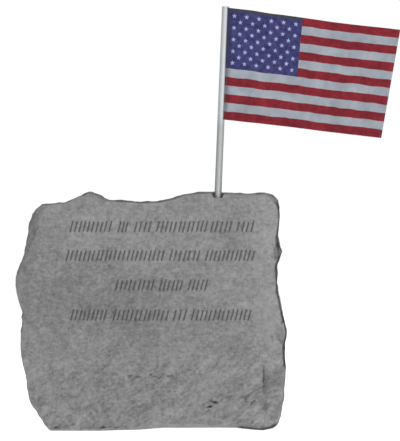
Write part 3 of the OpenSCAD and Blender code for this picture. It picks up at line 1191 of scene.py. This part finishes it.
def stripes_and_stars(n, along, down, at, seen_l):
    """Where the cloth has white stripes, the canton and its stars: 1 there, 0 elsewhere."""
    wavy = n.noise(n.stretched(at, (0, 0, 0), (0.035, 0.03, 1)), 1.0, 3.0)
    wavy_down = n.plus(down, n.fit(wavy, 0.25, 0.75, -1.1, 1.1))
    stripe_at = n.math("DIVIDE", wavy_down, FLAG_HOIST / STRIPES)
    parity = n.math("PINGPONG", n.minus(stripe_at, 0.5), 1.0)
    white = n.fit(parity, 0.47, 0.53)
    canton_w, canton_h = CANTON_SHARE * seen_l, CANTON_STRIPES * FLAG_HOIST / STRIPES
    canton = n.fit(along, canton_w + PRINT_SOFT, canton_w - PRINT_SOFT)
    canton = n.times(canton, n.fit(down, canton_h + PRINT_SOFT, canton_h - PRINT_SOFT))

    # The stars are on every other place of a grid.
    step_x, step_z = canton_w / (STAR_COLUMNS + 1), (canton_h - STARS_LOWER) / (STAR_ROWS + 1)
    below = n.minus(down, STARS_LOWER)
    column = n.math("ROUND", n.math("DIVIDE", along, step_x))
    row = n.math("ROUND", n.math("DIVIDE", below, step_z))
    off_x = n.minus(along, n.times(column, step_x))
    off_z = n.minus(n.times(row, step_z), below)
    stars = n.times(
        star_shape(n, off_x, off_z, STAR_R),
        n.fit(n.math("MODULO", n.plus(column, row), 2.0), 0.4, 0.6, 1.0, 0.0),
    )
    for place, last in ((column, STAR_COLUMNS), (row, STAR_ROWS)):
        stars = n.times(stars, n.math("GREATER_THAN", place, 0.5))
        stars = n.times(stars, n.math("LESS_THAN", place, last + 0.5))
    return white, canton, stars


def flag_material():
    n = Nodes("flag_cloth")
    uv = n.add("ShaderNodeUVMap", uv_map="cloth").outputs[0]
    uv = n.add("ShaderNodeSeparateXYZ", {"Vector": uv}).outputs
    seen_l = free_l + turned_l
    along = n.minus(n.times(uv[0], cloth_l), cloth_l - seen_l)
    down = n.times(n.minus(1.0, uv[1]), FLAG_HOIST)
    cloth_at = n.add("ShaderNodeCombineXYZ", {"X": along, "Y": down}).outputs[0]
    is_white, is_canton, is_star = stripes_and_stars(n, along, down, cloth_at, seen_l)

    # Each colour is faded and blotchy, and a strip of painted shade runs along the top of the
    # canton.
    at = n.place()
    fade = n.noise(at, 38.0, 4.0, 0.6)
    blotch = n.noise(at, 130.0, 3.0, 0.6)
    faded, blotched = n.fit(fade, 0.3, 0.7), n.fit(blotch, 0.3, 0.7)
    worn = n.plus(n.fit(fade, 0.3, 0.7, -0.1, 0.6), n.fit(blotch, 0.3, 0.7, -0.25, 0.55))
    red = n.blend(worn, (0.15, 0.008, 0.016, 1), (0.27, 0.018, 0.03, 1))
    white = n.blend(faded, (0.262, 0.287, 0.33, 1), (0.383, 0.41, 0.455, 1))
    blue = n.blend(blotched, (0.02, 0.021, 0.09, 1), (0.058, 0.06, 0.19, 1))
    star = n.blend(blotched, (0.31, 0.32, 0.57, 1), (0.43, 0.44, 0.69, 1))
    blue = n.blend(n.fit(down, 7.5, 3.0), blue, (0.045, 0.05, 0.06, 1))
    colour = n.blend(is_white, red, white)
    colour = n.blend(is_canton, colour, n.blend(is_star, blue, star))

    # Shade where the cloth turns in beside the tube, then the hems, their stitches and the weave.
    colour = n.blend(n.times(n.fit(along, 9.0, 1.0), 0.45), colour, grey(0.02))
    to_edge = n.minus(seen_l, along)
    seam = n.fit(to_edge, HEM - 1.0, HEM - 0.3)
    seam = n.times(seam, n.fit(to_edge, HEM + 0.6, HEM - 0.1))
    thread = n.math("PINGPONG", n.plus(along, down), 1.3)
    stitch = n.times(seam, n.fit(thread, 0.3, 0.6))
    colour = n.blend(n.times(seam, 0.25), colour, grey(0.03))
    colour = n.blend(n.times(stitch, 0.1), colour, grey(0.4))
    threads = [n.math("SINE", n.times(v, 2 * pi / WEAVE_STEP)) for v in (along, down)]
    weave = n.times(*threads)
    colour = n.blend(n.fit(weave, -1, 1, 0.0, 0.1), colour, grey(0.02))
    coarse = n.bump(blotch, 0.25, 0.0005)
    sewn = n.bump(n.minus(stitch, seam), 0.5, 0.0003, coarse)
    return n.finish(
        Base_Color=colour,
        Roughness=0.85,
        Specular_IOR_Level=0.2,
        Sheen_Weight=0.12,
        Sheen_Roughness=0.5,
        Normal=n.bump(weave, 0.35, 0.00012, sewn),
    )


def use(piece, material, node):
    piece.data.materials.clear()
    piece.data.materials.append(material)
    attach(piece, "root")
    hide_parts(node)


# ---- the object

stone = build_stone()
cut_away(stone, socket_cutter())
tube = build_tube()
flag = build_flag()
use(stone, stone_material(), "stone")
use(tube, tube_material(), "flagpole")
use(flag, flag_material(), "flag")


# ---- floor, light and camera

# How high the picture's view is at the face, in mm, then the camera's distance and height.
VIEW_H = 780.57
SENSOR = 36
CAMERA_BACK = 6.0
CAMERA_Z = 0.56
AIM = Vector((0.0869, FACE_Y * MM, 0.374))
FLOOR_HALF = 60000.0
FLOOR_GLOW = 0.93
WORLD_FILL = 0.11


def looking(obj, at):
    obj.rotation_euler = (at - obj.location).to_track_quat("-Z", "Y").to_euler()


def add_light(name, place, at, size, watts):
    lamp = bpy.data.lights.new(name, "AREA")
    lamp.shape = "RECTANGLE"
    lamp.size, lamp.size_y = size
    lamp.energy = watts
    obj = add_object(name, lamp)
    obj.location = place
    looking(obj, Vector(at))


def build_floor():
    n = Nodes("floor")
    white = n.finish(
        Base_Color=grey(0.82),
        Roughness=0.9,
        Specular_IOR_Level=0.0,
        Emission_Color=grey(1.0),
        Emission_Strength=FLOOR_GLOW,
    )
    corners = np.array([(-1, -1, 0), (1, -1, 0), (1, 1, 0), (-1, 1, 0)])
    floor = make_mesh("floor", corners * FLOOR_HALF, np.array([(0, 1, 2, 3)]), smooth=False)
    floor.data.materials.append(white)


def build_world():
    """White where the camera sees it, and a weak white light on the object."""
    world = bpy.data.worlds.new("studio")
    bpy.context.scene.world = world
    world.use_nodes = True
    tree = world.node_tree
    tree.nodes.clear()
    mix = tree.nodes.new("ShaderNodeMixShader")
    for socket, strength in ((1, WORLD_FILL), (2, 1.0)):
        white = tree.nodes.new("ShaderNodeBackground")
        white.inputs[0].default_value = (1, 1, 1, 1)
        white.inputs[1].default_value = strength
        tree.links.new(white.outputs[0], mix.inputs[socket])
    path = tree.nodes.new("ShaderNodeLightPath")
    tree.links.new(path.outputs["Is Camera Ray"], mix.inputs[0])
    tree.links.new(mix.outputs[0], tree.nodes.new("ShaderNodeOutputWorld").inputs[0])


def build_camera():
    camera = bpy.data.cameras.new("camera")
    camera.sensor_width = SENSOR
    camera.lens = SENSOR * CAMERA_BACK / (VIEW_H * MM)
    view = add_object("camera", camera)
    view.location = (AIM.x, AIM.y - CAMERA_BACK, CAMERA_Z)
    looking(view, AIM)
    bpy.context.scene.camera = view


build_floor()
build_world()
add_light("front_soft", (0.75, -2.5, 0.8), (0.05, 0, 0.4), (1.2, 1.2), 23)
add_light("left_strip", (-1.7, -2.3, 0.7), (0.1, 0, 0.5), (0.3, 1.6), 6)
add_light("top_soft", (0.1, -0.5, 2.2), (0, 0, 0.4), (1.2, 1.2), 9)
add_light("back_soft", (0.8, 3.2, 1.6), (0, 0, 0.4), (2.2, 2.2), 45)

build_camera()
bpy.context.scene.view_settings.view_transform = "Standard"
